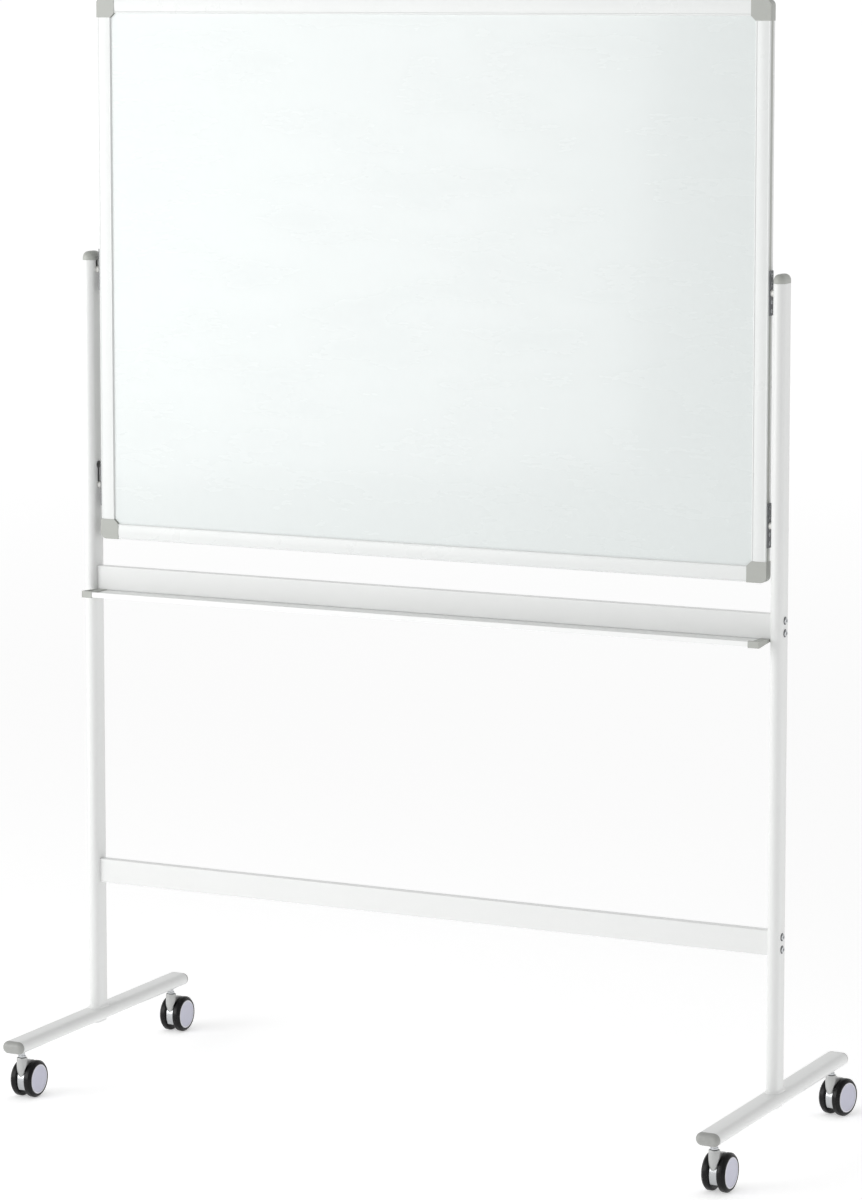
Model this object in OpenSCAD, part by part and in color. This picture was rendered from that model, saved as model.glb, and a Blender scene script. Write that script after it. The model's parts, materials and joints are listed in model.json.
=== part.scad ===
// Rolling whiteboard: one steel-faced writing board hung between the two posts of a
// wheeled stand, with a pen tray under it and a swivelling twin-wheel caster at each foot end.
// X runs to the right, Y runs to the back and Z runs up. The writing face looks along -Y.
// The origin is on the floor, midway between the front and the rear wheels' contact lines and
// midway between the posts. The modules draw about the posts' own plane, and placed() moves them.

/* [Board] */
// Width over the frame
board_w = 1210; // [800:10:1800]
// Height over the frame
board_h = 910; // [600:10:1000]
// Depth of the frame from front to back
board_t = 18; // [18:1:24]
// Height of the frame's underside above the floor
board_z = 918; // [914:1:960]
// Width of the frame bars as seen from the front
bar_w = 25; // [24:1:32]
// Length of each corner cap's legs
cap_leg = 33; // [33:1:60]
// Height of the lower hanging studs above the frame's underside
stud_rise = 90; // [80:1:150]

/* [Stand] */
// Width of the post tube, seen from the front
post_w = 20; // [20:1:24]
// Depth of the post tube, from front to back
post_d = 40; // [36:1:50]
// Gap between the board's frame and each post
side_gap = 9.5; // [9:0.5:14]
// Height of the rails
rail_h = 41; // [38:1:50]
// Depth of the rails
rail_t = 15; // [14:1:18]
// Height of the upper rail's top edge above the floor
upper_rail_z = 870; // [860:1:880]
// Height of the lower rail's top edge above the floor
lower_rail_z = 364; // [250:1:500]
// Length of each foot over its end caps
foot_l = 562; // [480:1:700]
// Width of the foot tube
foot_w = 40; // [36:1:50]
// Height of the foot tube
foot_h = 21; // [20:1:24]
// Distance of each caster stem from the foot's end
stem_inset = 33; // [33:1:60]

/* [Pen tray] */
// Depth of the tray, from the rail's face to the front of the lip
tray_d = 51; // [40:1:80]
// Height of the tray's front lip
tray_lip = 9; // [8:1:14]
// Length of each end cap along the tray
tray_cap_l = 18; // [12:1:25]

/* [Casters] */
// Diameter of the wheels
wheel_d = 62; // [60:1:64]
// Width of each wheel
wheel_w = 13; // [12:1:16]
// Distance of the axle behind the stem
trail = 22; // [21:0.5:24]
// Turn of the front left caster, from trailing straight back
turn_front_left = 0; // [-180:1:180]
// Turn of the front right caster
turn_front_right = -2; // [-180:1:180]
// Turn of the rear left caster
turn_rear_left = 0; // [-180:1:180]
// Turn of the rear right caster
turn_rear_right = -12; // [-180:1:180]

/* [Hidden] */
$fn = 64;
eps = 0.01;

CORNERS = ["front_left", "front_right", "rear_left", "rear_right"];
CASTER_PARTS = ["housing", "axle", "wheel_left", "wheel_right", "disc_left", "disc_right"];

// Colours
white_paint = [0.95, 0.95, 0.95];
sheet_white = [0.93, 0.97, 0.96];
core_tan = [0.80, 0.72, 0.58];
back_grey = [0.80, 0.81, 0.82];
cap_grey = [0.70, 0.71, 0.69];
foot_cap_grey = [0.71, 0.71, 0.70];
steel = [0.62, 0.63, 0.64];
dark_steel = [0.32, 0.33, 0.34];
housing_grey = [0.73, 0.73, 0.72];
tyre_black = [0.06, 0.06, 0.06];
disc_lilac = [0.71, 0.71, 0.77];

// Board, measured across the frame from its outer edge (u) and from the middle plane (v)
front_v = -board_t / 2;
face_drop = 3.5;        // how far the writing face lies behind the frame's front
sheet_t = 0.6;
core_t = 8;
back_t = 0.4;
wall = 2;               // frame bar wall
web_u = bar_w - 15;     // wall between the bar's hollow and its groove
core_u = web_u + 2;     // edge of the core inside the groove
rear_lip = bar_w - 7;   // width of the bar's rear lip
crown_r = 60;           // crown of the bar's front
cap_proud = 0.6;        // how far the corner caps stand out from the bars
cap_corner_r = 10;
cap_chamfer = cap_leg - bar_w;
tenon = 22;             // corner cap tenons, inside the bars
face_v = front_v + face_drop;
core_v = face_v + sheet_t;
back_v = core_v + core_t;
board_mid_z = board_z + board_h / 2;
sheet_gap = 0.2;        // gap between the writing sheet and the frame bars
fit_gap = 0.1;          // gap round parts that plug or slide into each other

// Hanging hardware
stud_d = 6;
stud_head_d = 11;
stud_head_t = 2.2;
slot_w = 7;
keyhole_d = 14;
keyhole_rise = 34;      // height of the round hole above the hanging stud
plate_l = 70;
plate_w = 14;
plate_t = 2;
plate_pitch = 14;
plate_rows = [-2, -1, 1, 2];    // the screws' places above and below the stud
screw_d = 3.4;
screw_hole_d = 3.6;
upper_stud_z = board_mid_z;
lower_stud_z = board_z + stud_rise;
stud_top_gap = 16;      // the tube ends this far above the upper stud

// Posts and feet
post_x = board_w / 2 + side_gap + post_w / 2;
origin_y = trail;       // the origin lies this far behind the posts' plane
tube_t = 1.5;
post_top = upper_stud_z + stud_top_gap;
post_cap_side = 5;      // straight side of the post cap under its round top
foot_z = 82.5;          // underside of the foot tube
foot_top = foot_z + foot_h;
foot_cap_l = 9;
foot_cap_nose = 8.5;    // rounding of the caps' ends
foot_tube_l = foot_l - 2 * foot_cap_l;
collar_h = 3;           // welded collar that the post stands in
collar_m = 3;
pad_w = 18;             // pad under the foot, below the post
pad_d = 36;
pad_h = 5.5;
base_bolt_d = 8;
base_head_d = 13;
base_head_h = 3;
base_bolt_top = 20;     // how far the bolts reach up into the posts
base_plug_l = 24;
bolt_d = 6;
bolt_head_d = 14;
bolt_head_h = 3.4;
bolt_pitch = 20;
rail_wall = 1.2;
rail_edge = 2;          // rounding of the rails' long edges
rail_plug_l = 22;
stem_y = foot_l / 2 - stem_inset;

// Pen tray
tray_wall = 1.5;
lip_t = 2;
lip_rise = 3;           // how far the lip stands above the floor of the tray
rail_y = -rail_t / 2;
tray_y = rail_y - tray_d;
tray_top = upper_rail_z - rail_h;     // the tray's floor lies against the rail's underside
tray_low = tray_top - tray_wall;
lip_top = tray_top + lip_rise;
lip_low = lip_top - tray_lip;
tray_l = 2 * (post_x - post_w / 2) - 2;
tray_screw_pitch = 280;

// Casters, about the stem's axis and with the floor at zero
wheel_r = wheel_d / 2;
wheel_gap = 7;          // distance of each wheel's inner face from the middle
disc_r = wheel_r - 6.6;
disc_inset = 2;         // depth of the recess that holds the disc
web_w = 13.4;
web_r = wheel_r - 3;
web_floor = 15;
boss_r = 9;
boss_top = 71;
boss_mid = 47;          // middle of the boss's round lower end
axle_d = 6;
axle_l = 34;
run_gap = 0.05;         // radial running clearance
neck_d = 10;
neck_seat = 2.4;        // how far the neck reaches down into the housing's cup
journal_d = 8;
socket_d = 16;
turns = [turn_front_left, turn_front_right, turn_rear_left, turn_rear_right];
sides_x = [-1, 1, -1, 1];
ends_y = [-1, -1, 1, 1];

// ---- Shared shapes ----

// Moves a node from the posts' plane to the part's own origin
module placed() {
    translate([0, -origin_y, 0])
        children();
}

// Flat oval with its long side along Y and true round ends
module oval(w, d) {
    square([w, d - w], center = true);
    for (s = [-1, 1])
        translate([0, s * (d - w) / 2])
            circle(d = w);
}

// Half of a block's section from its middle line, with a rounded upper edge
module nose_section(r, h, nose_r) {
    square([r, h - nose_r]);
    square([r - nose_r, h]);
    intersection() {
        translate([r - nose_r, h - nose_r])
            circle(r = nose_r);
        square([r, h]);
    }
}

// Flat oval block on the XY plane with a rounded upper edge
module rounded_oval(w, d, h, nose_r) {
    straight = d - w;
    for (s = [-1, 1])
        translate([0, s * straight / 2, 0])
            rotate_extrude()
                nose_section(w / 2, h, nose_r);
    for (s = [0, 1])
        mirror([s, 0, 0])
            rotate([90, 0, 0])
                linear_extrude(straight, center = true)
                    nose_section(w / 2, h, nose_r);
}

// Rectangle with true round corners
module round_rect(w, h, r) {
    square([w - 2 * r, h], center = true);
    square([w, h - 2 * r], center = true);
    for (x = [-1, 1], y = [-1, 1])
        translate([x * (w / 2 - r), y * (h / 2 - r)])
            circle(r = r);
}

// Stretch of a profile drawn in Y and Z, from x0 to x1
module along_x(x0, x1) {
    translate([x0, 0, 0])
        rotate([90, 0, 90])
            linear_extrude(x1 - x0)
                children();
}

// Round bar along X, from x0 to x1, at a height and a depth
module rod_x(d, x0, x1, y = 0, z = 0) {
    translate([min(x0, x1), y, z])
        rotate([0, 90, 0])
            cylinder(d = d, h = abs(x1 - x0));
}

// Shallow domed screw head that points along +Z, with a hexagon socket
module domed_head(d, h, socket) {
    ball_r = (d * d / 4 + h * h) / (2 * h);
    difference() {
        intersection() {
            translate([0, 0, h - ball_r])
                sphere(r = ball_r);
            cylinder(d = d, h = h + 1);
        }
        translate([0, 0, h * 0.4])
            cylinder(d = socket, h = h, $fn = 6);
    }
}

// ---- Board ----

// Section of a frame bar: u from the outer edge, v from front to back
module bar_section() {
    edge_r = 2;             // rounding of the outer front edge
    front_t = 2.4;          // thickness of the crowned front
    bead_r = 1.3;           // bead along the inner edge
    bead_v = front_v + 1.4;
    groove_wall = 1.5;
    back_lip_v = back_v + back_t + fit_gap;
    // Outer wall with its rounded front edge
    translate([0, front_v + edge_r])
        square([wall, board_t - edge_r]);
    intersection() {
        translate([edge_r, front_v + edge_r + 0.3])
            circle(r = edge_r);
        translate([0, front_v])
            square([2 * edge_r, front_t]);
    }
    // Crowned front
    intersection() {
        translate([bar_w / 2, front_v + crown_r])
            circle(r = crown_r, $fn = 180);
        translate([1, front_v])
            square([bar_w - 1.8, front_t]);
    }
    // Bead and return along the inner edge
    translate([bar_w - bead_r, bead_v])
        circle(r = bead_r);
    translate([bar_w - 2 * bead_r, bead_v])
        square([2 * bead_r, core_v - fit_gap - bead_v]);
    // Wall between the hollow and the groove
    translate([web_u, front_v + edge_r])
        square([groove_wall, board_t - edge_r - 1]);
    // Back and rear lip
    translate([0, board_t / 2 - wall])
        square([rear_lip, wall]);
    translate([rear_lip - wall, back_lip_v])
        square([wall, board_t / 2 - back_lip_v]);
}

// Frame bar of a given length along X, lying along the bottom edge of the board
module bottom_bar(length) {
    translate([length / 2, 0, 0])
        rotate([0, -90, 0])
            linear_extrude(length)
                bar_section();
}

// Holes for one hanging plate in the outer wall of an upright bar
module plate_holes(z) {
    for (k = plate_rows)
        rod_x(screw_hole_d, -1, wall + 0.5, 0, z + k * plate_pitch);
}

module upright_bar() {
    difference() {
        translate([0, 0, board_mid_z])
            rotate([0, 90, 0])
                bottom_bar(board_h - 2 * cap_leg);
        for (z = [lower_stud_z, upper_stud_z]) {
            plate_holes(z);
            rod_x(stud_d + 0.4, -1, wall + 0.5, 0, z);
        }
    }
}

module frame_left() {
    color(white_paint)
        translate([-board_w / 2, 0, 0])
            upright_bar();
}

module frame_right() {
    color(white_paint)
        mirror([1, 0, 0])
            translate([-board_w / 2, 0, 0])
                upright_bar();
}

module frame_bottom() {
    color(white_paint)
        translate([0, 0, board_z])
            bottom_bar(board_w - 2 * cap_leg);
}

module frame_top() {
    color(white_paint)
        translate([0, 0, board_z + board_h])
            mirror([0, 0, 1])
                bottom_bar(board_w - 2 * cap_leg);
}

// Front outline of a corner cap whose outer corner is the origin
module corner_outline() {
    p = cap_proud;
    leg_w = bar_w + p + fit_gap;
    leg_l = cap_leg - cap_corner_r + p;
    translate([cap_corner_r - p, -p])
        square([leg_l, leg_w]);
    translate([-p, cap_corner_r - p])
        square([leg_w, leg_l]);
    translate([cap_corner_r - p, cap_corner_r - p])
        circle(r = cap_corner_r);
    polygon([[bar_w, bar_w], [cap_leg, bar_w], [bar_w, cap_leg]]);
}

// Corner cap at the lower left corner, with its tenons in the two bars
module corner_cap() {
    t = board_t + 2 * cap_proud;
    groove_u = core_u - 0.3;
    groove_v = face_v - 0.05;
    tenon_u = web_u - wall - 0.4;
    tenon_v = board_t - 5.4;
    tenon_z = wall + 0.2;
    difference() {
        translate([0, t / 2, 0])
            rotate([90, 0, 0])
                linear_extrude(t)
                    corner_outline();
        // Groove for the panel
        translate([groove_u, groove_v, groove_u])
            cube([cap_leg * 2, back_v + back_t + fit_gap - groove_v, cap_leg * 2]);
        // Open corner behind the panel, inside the rear lips
        translate([rear_lip, back_v, rear_lip])
            cube([cap_leg * 2, board_t, cap_leg * 2]);
    }
    translate([cap_leg - eps, -tenon_v / 2 + 0.3, tenon_z])
        cube([tenon, tenon_v, tenon_u]);
    translate([tenon_z, -tenon_v / 2 + 0.3, cap_leg - eps])
        cube([tenon_u, tenon_v, tenon]);
}

module corner_caps() {
    color(cap_grey)
        for (sx = [0, 1], sz = [0, 1])
            translate([0, 0, board_mid_z])
                mirror([sx, 0, 0])
                    mirror([0, 0, sz])
                        translate([-board_w / 2, 0, -board_h / 2])
                            corner_cap();
}

// Slab of the panel, with its front at depth v
module panel_slab(w, h, v, t) {
    translate([-w / 2, v, board_mid_z - h / 2])
        cube([w, t, h]);
}

module writing_sheet() {
    w = board_w - 2 * bar_w - 2 * sheet_gap;
    h = board_h - 2 * bar_w - 2 * sheet_gap;
    c = cap_chamfer + 0.5;
    color(sheet_white)
        translate([0, core_v, board_mid_z])
            rotate([90, 0, 0])
                linear_extrude(sheet_t)
                    polygon([for (s = [[1, 1], [-1, 1], [-1, -1], [1, -1]])
                        for (k = (s[0] * s[1] > 0) ? [0, 1] : [1, 0])
                            [s[0] * (w / 2 - c * k), s[1] * (h / 2 - c * (1 - k))]]);
}

module board_core() {
    color(core_tan)
        panel_slab(board_w - 2 * core_u, board_h - 2 * core_u, core_v, core_t);
}

module back_sheet() {
    color(back_grey)
        panel_slab(board_w - 2 * core_u, board_h - 2 * core_u, back_v, back_t);
}

// Repeats its children at the four studs, with +X pointing out of the board's edge
module at_studs() {
    for (s = [0, 1], z = [lower_stud_z, upper_stud_z])
        mirror([s, 0, 0])
            translate([board_w / 2, 0, z])
                children();
}

module hang_plates() {
    color(dark_steel)
        at_studs()
            difference() {
                translate([plate_t / 2, 0, 0])
                    cube([plate_t, plate_w, plate_l], center = true);
                for (k = plate_rows)
                    rod_x(screw_hole_d, -1, plate_t + 1, 0, k * plate_pitch);
                rod_x(stud_d + 2 * run_gap, -1, plate_t + 1);
            }
}

module plate_screws() {
    color(steel)
        at_studs()
            for (k = plate_rows)
                translate([0, 0, k * plate_pitch]) {
                    rod_x(screw_d, -7, plate_t + 0.1);
                    translate([plate_t, 0, 0])
                        rotate([0, 90, 0])
                            domed_head(6.4, 1.8, 2.4);
                }
}

module hang_studs() {
    head_x = side_gap + tube_t + 0.4;
    tail_x = -4;
    color(steel)
        at_studs() {
            rod_x(stud_d, tail_x, head_x + stud_head_t);
            rod_x(stud_head_d, head_x, head_x + stud_head_t);
            rod_x(stud_head_d - 1, tail_x, -wall - 0.2);
        }
}

module stud_spacers() {
    color(white_paint)
        at_studs()
            difference() {
                rod_x(stud_head_d, plate_t, side_gap - 0.3);
                rod_x(stud_d + 2 * run_gap, plate_t - 1, side_gap + 1);
            }
}

// ---- Stand ----

// Slot for a hanging stud through the post's inner wall, rising from the resting stud
module stud_slot(length) {
    mid_z = (slot_w - stud_d) / 2 - 0.2;
    reach = post_w / 2 + 2;
    rod_x(slot_w, 0, reach, 0, mid_z);
    translate([0, -slot_w / 2, mid_z])
        cube([reach, slot_w, length]);
}

// Heights of the rail bolts
function bolt_heights() = [for (top = [upper_rail_z, lower_rail_z], k = [-1, 1])
                           top - rail_h / 2 + k * bolt_pitch / 2];

// Post about its own axis, with its inner face towards +X
module post() {
    difference() {
        translate([0, 0, foot_top])
            linear_extrude(post_top - foot_top)
                difference() {
                    oval(post_w, post_d);
                    oval(post_w - 2 * tube_t, post_d - 2 * tube_t);
                }
        translate([0, 0, upper_stud_z])
            stud_slot(stud_top_gap + 5);
        translate([0, 0, lower_stud_z])
            stud_slot(keyhole_rise);
        rod_x(keyhole_d, 0, post_w / 2 + 2, 0, lower_stud_z + keyhole_rise);
        for (z = bolt_heights())
            rod_x(bolt_d + 0.4, -post_w, post_w, 0, z);
    }
}

module post_left() {
    color(white_paint)
        translate([-post_x, 0, 0])
            post();
}

module post_right() {
    color(white_paint)
        mirror([1, 0, 0])
            translate([-post_x, 0, 0])
                post();
}

// Cap that closes the top of a post, round over its top and plugged into the tube
module post_cap() {
    m = 2 * tube_t + 0.3;
    plug_l = 12;
    rounded_oval(post_w, post_d, post_cap_side + post_w / 2, post_w / 2 - 1);
    // Plug, cut back on the inner side to leave the stud's head its room
    translate([0, 0, -plug_l])
        linear_extrude(plug_l + eps)
            intersection() {
                oval(post_w - m, post_d - m);
                translate([-post_w, -post_d])
                    square([post_w + 1.5, 2 * post_d]);
            }
}

module post_caps() {
    color(cap_grey)
        for (s = [0, 1])
            mirror([s, 0, 0])
                translate([-post_x, 0, post_top])
                    post_cap();
}

// Round tube section of a foot, lying along Y
module foot_section(inset) {
    rotate(90)
        oval(foot_h - 2 * inset, foot_w - 2 * inset);
}

// Stretch of a profile drawn in X and Z, centred on the foot's axis
module along_foot(length) {
    translate([0, length / 2, foot_z + foot_h / 2])
        rotate([90, 0, 0])
            linear_extrude(length)
                children();
}

// Foot tube with its welded collar, about the post's axis
module foot() {
    root = 2.2;             // depth of the collar below the tube's top
    difference() {
        union() {
            along_foot(foot_tube_l)
                foot_section(0);
            translate([0, 0, foot_top - root])
                rounded_oval(post_w + 2 * collar_m, post_d + 2 * collar_m, collar_h + root, 2);
        }
        // Inside of the tube, seat of the post, bolt hole and the stems' sockets
        along_foot(foot_l)
            foot_section(tube_t);
        translate([0, 0, foot_top])
            linear_extrude(collar_h + 1)
                oval(post_w + 2 * fit_gap, post_d + 2 * fit_gap);
        translate([0, 0, foot_z - 1])
            cylinder(d = base_bolt_d + 0.4, h = foot_h + 5);
        for (s = [-1, 1])
            translate([0, s * stem_y, foot_z - 1])
                cylinder(d = socket_d + 2 * fit_gap, h = 5);
    }
}

module foot_left() {
    color(white_paint)
        translate([-post_x, 0, 0])
            foot();
}

module foot_right() {
    color(white_paint)
        translate([post_x, 0, 0])
            foot();
}

// End cap of a foot, pointing along +Y from the tube's end
module foot_cap() {
    m = 2 * tube_t + 2 * fit_gap;
    plug_l = 14;
    translate([0, 0, foot_z + foot_h / 2])
        rotate([-90, 90, 0]) {
            rounded_oval(foot_h, foot_w, foot_cap_l, foot_cap_nose);
            translate([0, 0, -plug_l])
                linear_extrude(plug_l + eps)
                    oval(foot_h - m, foot_w - m);
        }
}

module foot_caps() {
    color(foot_cap_grey)
        for (x = [-post_x, post_x], s = [0, 1])
            translate([x, 0, 0])
                mirror([0, s, 0])
                    translate([0, foot_tube_l / 2, 0])
                        foot_cap();
}

// Rail between the posts, with its top edge at a given height
module rail(top) {
    half_l = post_x - post_w / 2;
    translate([0, 0, top - rail_h / 2])
        along_x(-half_l, half_l)
            difference() {
                round_rect(rail_t, rail_h, rail_edge);
                round_rect(rail_t - 2 * rail_wall, rail_h - 2 * rail_wall, rail_edge - rail_wall);
            }
}

// Screw positions along the tray
function tray_screw_xs() = [for (k = [-2:2]) k * tray_screw_pitch];

module upper_rail() {
    color(white_paint)
        difference() {
            rail(upper_rail_z);
            tray_screw_holes();
        }
}

module lower_rail() {
    color(white_paint)
        rail(lower_rail_z);
}

// Threaded plugs inside the rail ends
module rail_plugs() {
    outer = post_x - post_w / 2;
    w = rail_t - 2 * rail_wall - 2 * fit_gap;
    h = rail_h - 2 * rail_wall - 2 * fit_gap;
    color(dark_steel)
        for (s = [0, 1], top = [upper_rail_z, lower_rail_z])
            mirror([s, 0, 0])
                translate([0, 0, top - rail_h / 2])
                    difference() {
                        along_x(outer - rail_plug_l, outer - 0.2)
                            round_rect(w, h, rail_edge - rail_wall);
                        for (k = [-1, 1])
                            rod_x(bolt_d + 2 * run_gap, outer - rail_plug_l - 1, outer + 1,
                                  0, k * bolt_pitch / 2);
                    }
}

module rail_bolts() {
    outer = post_x + post_w / 2;
    color(steel)
        for (s = [0, 1], z = bolt_heights())
            mirror([s, 0, 0])
                translate([outer, 0, z]) {
                    rod_x(bolt_d, -post_w - rail_plug_l + 4, 0.1);
                    rotate([0, 90, 0])
                        domed_head(bolt_head_d, bolt_head_h, 4.6);
                }
}

// Tray section in Y and Z: front lip with round edges, and the floor that runs on under the rail
module tray_section() {
    back_gap = 1.5;         // the floor ends this far before the rail's back
    for (z = [lip_low + lip_t / 2, lip_top - lip_t / 2])
        translate([tray_y + lip_t / 2, z])
            circle(d = lip_t);
    translate([tray_y, lip_low + lip_t / 2])
        square([lip_t, tray_lip - lip_t]);
    translate([tray_y + lip_t / 2, tray_low])
        square([tray_d + rail_t - lip_t / 2 - back_gap, tray_wall]);
}

// Holes for the tray's screws through its floor and the rail's underside
module tray_screw_holes() {
    for (x = tray_screw_xs())
        translate([x, 0, tray_low - 1])
            cylinder(d = screw_hole_d, h = tray_wall + rail_wall + 1.5);
}

module pen_tray() {
    color(white_paint)
        difference() {
            along_x(-tray_l / 2, tray_l / 2)
                tray_section();
            tray_screw_holes();
        }
}

// End cap of the tray: a tapered end wall and a thin sleeve round the lip and the floor
module tray_cap() {
    m = 1 + fit_gap;        // skin round the tray, with its fit
    end = tray_l / 2 + 0.1;
    end_t = 0.8;
    front = tray_y - m;
    step = tray_y + lip_t + m;
    back = rail_y - 0.1;
    difference() {
        union() {
            along_x(end - tray_cap_l, end + end_t)
                polygon([[front, lip_low - m], [front, lip_top + m], [step, lip_top + m],
                         [step, tray_top + m], [back, tray_top + m], [back, tray_low - m],
                         [step, lip_low - m]]);
            along_x(end, end + end_t)
                polygon([[step - 1, lip_low], [step - 1, lip_top + m], [step, lip_top + m],
                         [back, tray_top + m], [back, tray_low]]);
        }
        // Room for the tray's lip and floor
        along_x(end - tray_cap_l - 1, end) {
            translate([tray_y - fit_gap, lip_low - fit_gap])
                square([lip_t + 2 * fit_gap, tray_lip + 2 * fit_gap]);
            translate([tray_y, tray_low - fit_gap])
                square([2 * tray_d, tray_wall + 2 * fit_gap]);
        }
    }
}

module tray_cap_right() {
    color(cap_grey)
        tray_cap();
}

module tray_cap_left() {
    color(cap_grey)
        mirror([1, 0, 0])
            tray_cap();
}

module tray_screws() {
    color(white_paint)
        for (x = tray_screw_xs())
            translate([x, 0, tray_low])
                mirror([0, 0, 1]) {
                    domed_head(5.6, 1.6, 2.2);
                    translate([0, 0, -9])
                        cylinder(d = screw_d, h = 9.1);
                }
}

// Threaded plugs inside the foot of each post
module base_plugs() {
    m = 2 * tube_t + 2 * fit_gap;
    color(dark_steel)
        for (x = [-post_x, post_x])
            translate([x, 0, foot_top + 0.1])
                linear_extrude(base_plug_l)
                    difference() {
                        oval(post_w - m, post_d - m);
                        circle(d = base_bolt_d + 2 * run_gap);
                    }
}

// Bolts up through the pads and feet into the plugs, with their heads sunk in the pads
module base_bolts() {
    seat = foot_z - pad_h + base_head_h + 0.3;
    color(steel)
        for (x = [-post_x, post_x])
            translate([x, 0, seat]) {
                mirror([0, 0, 1])
                    domed_head(base_head_d, base_head_h, 5);
                translate([0, 0, -0.1])
                    cylinder(d = base_bolt_d, h = foot_top + base_bolt_top - seat);
            }
}

module base_pads() {
    color(white_paint)
        for (x = [-post_x, post_x])
            translate([x, 0, foot_z])
                difference() {
                    mirror([0, 0, 1])
                        rounded_oval(pad_w, pad_d, pad_h, 2);
                    translate([0, 0, -pad_h - 1])
                        cylinder(d = base_bolt_d + 0.4, h = pad_h + 2);
                    translate([0, 0, -pad_h - 1])
                        cylinder(d = base_head_d + 0.8, h = base_head_h + 1.3);
                }
}

// ---- Casters ----

// Places its children about a stem's axis, without the caster's own turn
module at_stem(i) {
    translate([sides_x[i] * post_x, ends_y[i] * stem_y, 0])
        children();
}

// Places its children about a stem's axis, turned with that caster
module at_caster(i) {
    at_stem(i)
        rotate(turns[i])
            children();
}

// Stem: a thick neck in the foot's socket over a thinner journal in the housing
module stem() {
    neck_low = boss_top - neck_seat;
    neck_top = foot_z + 16;
    translate([0, 0, boss_mid])
        cylinder(d = journal_d, h = boss_top - boss_mid);
    translate([0, 0, neck_low])
        cylinder(d = neck_d, h = neck_top - neck_low);
    translate([0, 0, boss_top + 1])
        cylinder(d = neck_d + 3, h = 2.5);
}

module caster_stems() {
    color(steel)
        for (i = [0:3])
            at_stem(i)
                stem();
}

module caster_sockets() {
    color(dark_steel)
        for (i = [0:3])
            at_stem(i)
                translate([0, 0, foot_z + 0.3])
                    difference() {
                        cylinder(d = socket_d, h = foot_h - 2 * tube_t - 0.4);
                        translate([0, 0, -1])
                            cylinder(d = neck_d + 2 * run_gap, h = foot_h);
                    }
}

// Side outline of the web between the wheels, with the hood over the axle, in Y and Z
module web_outline() {
    hood_z = wheel_r + web_r;
    shoulder = boss_top - 1.5;
    far = 100;
    difference() {
        union() {
            translate([trail, wheel_r])
                circle(r = web_r);
            polygon([[0, wheel_r + 4], [0, shoulder], [boss_r - 1, shoulder],
                     [trail + 4, hood_z + 4], [trail + 14, hood_z - 6], [trail, wheel_r]]);
        }
        translate([-far, -far])
            square([2 * far, far + web_floor]);
    }
}

// Boss round the stem: a barrel with a ball end that is cut flat beside the wheels
module boss() {
    translate([0, 0, boss_mid])
        cylinder(r = boss_r, h = boss_top - boss_mid);
    intersection() {
        translate([0, 0, boss_mid])
            sphere(r = boss_r);
        translate([-web_w / 2, -boss_r, boss_mid - boss_r])
            cube([web_w, 2 * boss_r, 2 * boss_r]);
    }
}

module caster_housing() {
    reach = 20;             // half the length of the cuts across the housing
    color(housing_grey)
        difference() {
            union() {
                along_x(-web_w / 2, web_w / 2)
                    web_outline();
                boss();
            }
            // Swivel bearing, with the open cup round the neck
            translate([0, 0, boss_mid - 1])
                cylinder(d = journal_d + 2 * run_gap, h = 40);
            translate([0, 0, boss_top - neck_seat - 0.4])
                cylinder(d = neck_d + 4, h = 4);
            // Room for the wheels beside the boss
            for (s = [-1, 1])
                rod_x(wheel_d + 2, s * web_w / 2, s * reach, trail, wheel_r);
            // Axle
            rod_x(axle_d + 2 * eps, -reach, reach, trail, wheel_r);
        }
}

module caster_axle() {
    color(steel)
        rod_x(axle_d, -axle_l / 2, axle_l / 2, trail, wheel_r);
}

// Wheel on the +X side, turned about the axle: round tread, recess for the disc, hollow back
module wheel() {
    edge = 2;
    hub_r = 8;
    hollow = 8;
    bore_l = axle_l / 2 - wheel_gap + 0.3;
    translate([wheel_gap, trail, wheel_r])
        rotate([0, 90, 0])
            rotate_extrude($fn = 96)
                difference() {
                    union() {
                        square([wheel_r - edge, wheel_w]);
                        translate([0, edge])
                            square([wheel_r, wheel_w - 2 * edge]);
                        for (y = [edge, wheel_w - edge])
                            translate([wheel_r - edge, y])
                                circle(r = edge);
                    }
                    // Bore, disc recess and the hollow between hub and rim
                    translate([-1, -1])
                        square([1 + axle_d / 2 + run_gap, 1 + bore_l]);
                    translate([-1, wheel_w - disc_inset])
                        square([1 + disc_r + fit_gap, disc_inset + 1]);
                    translate([hub_r, -1])
                        square([disc_r - 3 - hub_r, 1 + hollow]);
                }
}

// Snap-in cover disc of the +X wheel, with a raised rim
module disc() {
    disc_t = 1.5;
    rim_w = 1.4;
    translate([wheel_gap + wheel_w - disc_inset, trail, wheel_r])
        rotate([0, 90, 0])
            rotate_extrude($fn = 96) {
                square([disc_r, disc_t]);
                translate([disc_r - rim_w, 0])
                    square([rim_w, disc_t + 0.4]);
            }
}

module caster_wheel(side) {
    color(tyre_black)
        mirror([side, 0, 0])
            wheel();
}

module caster_disc(side) {
    color(disc_lilac)
        mirror([side, 0, 0])
            disc();
}

placed() writing_sheet();
placed() board_core();
placed() back_sheet();
placed() frame_top();
placed() frame_bottom();
placed() frame_left();
placed() frame_right();
placed() corner_caps();
placed() hang_plates();
placed() plate_screws();
placed() hang_studs();
placed() stud_spacers();
placed() post_left();
placed() post_right();
placed() post_caps();
placed() foot_left();
placed() foot_right();
placed() foot_caps();
placed() upper_rail();
placed() lower_rail();
placed() rail_plugs();
placed() rail_bolts();
placed() pen_tray();
placed() tray_cap_left();
placed() tray_cap_right();
placed() tray_screws();
placed() base_plugs();
placed() base_bolts();
placed() base_pads();
placed() caster_stems();
placed() caster_sockets();

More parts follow.
